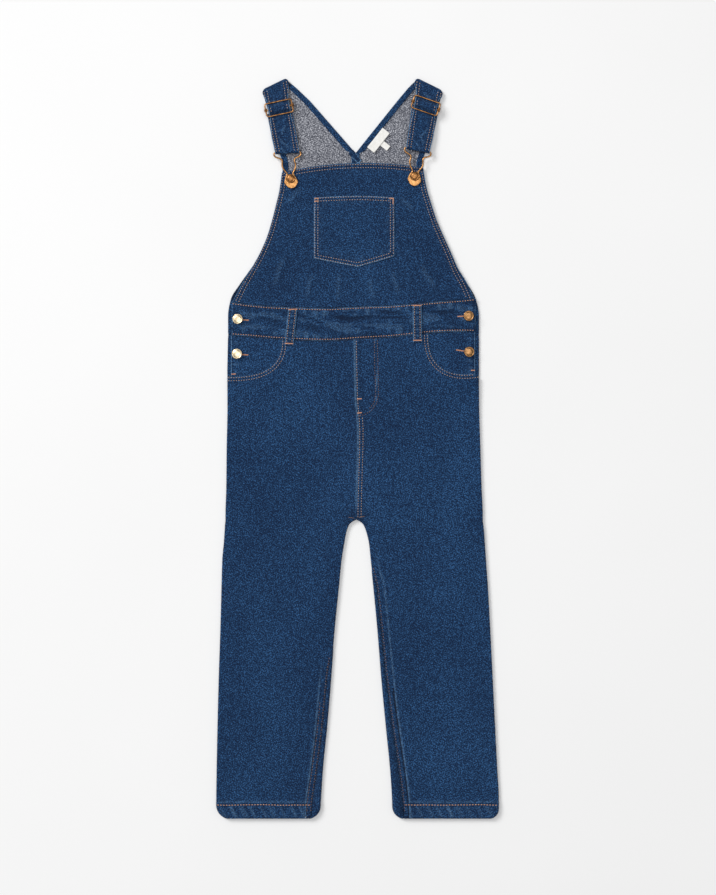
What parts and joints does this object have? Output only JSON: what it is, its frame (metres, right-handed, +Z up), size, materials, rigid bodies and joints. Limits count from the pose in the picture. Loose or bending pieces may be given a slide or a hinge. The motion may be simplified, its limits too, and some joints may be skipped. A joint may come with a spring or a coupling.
{
  "type": "kids dungarees",
  "caption": "Children's denim dungarees laid flat, with bib, patch pocket, buckled straps, front waistband, side buttons and straight legs.",
  "frame": {"origin": "on the surface the garment lies on, under the centre of its bounding box", "axes": "+Z up off the surface, +Y from the leg hems to the shoulder straps, +X to the right of someone looking down at the bib"},
  "size_m": [0.3538, 0.9265, 0.0099],
  "materials": {
    "indigo_denim": "dark indigo twill denim, right side, tan topstitching",
    "denim_inside": "grey-white speckled wrong side of the denim, with dark turned hems",
    "aged_brass": "brushed antique brass",
    "copper_wire": "bright copper-brass wire",
    "woven_label": "plain off-white woven satin label, no lettering"
  },
  "bodies": {
    "root": {"back_left": "denim_inside", "back_right": "denim_inside", "leg_back_left": "indigo_denim", "leg_back_right": "indigo_denim", "leg_front_left": "indigo_denim", "leg_front_right": "indigo_denim", "pocket_facing_left": "indigo_denim", "pocket_facing_right": "indigo_denim", "waistband_front": "indigo_denim", "bib_front": "indigo_denim", "bib_pocket": "indigo_denim", "belt_loop_left": "indigo_denim", "belt_loop_right": "indigo_denim", "strap_left": "indigo_denim", "strap_right": "indigo_denim", "slider_left": "copper_wire", "slider_right": "copper_wire", "hook_left": "aged_brass", "hook_right": "aged_brass", "hook_plate_left": "aged_brass", "hook_plate_right": "aged_brass", "bib_button_left": "aged_brass", "bib_button_right": "aged_brass", "side_button_upper_left": "aged_brass", "side_button_lower_left": "aged_brass", "side_button_upper_right": "aged_brass", "side_button_lower_right": "aged_brass", "neck_label": "woven_label", "size_tab": "woven_label"}
  },
  "joints": []
}
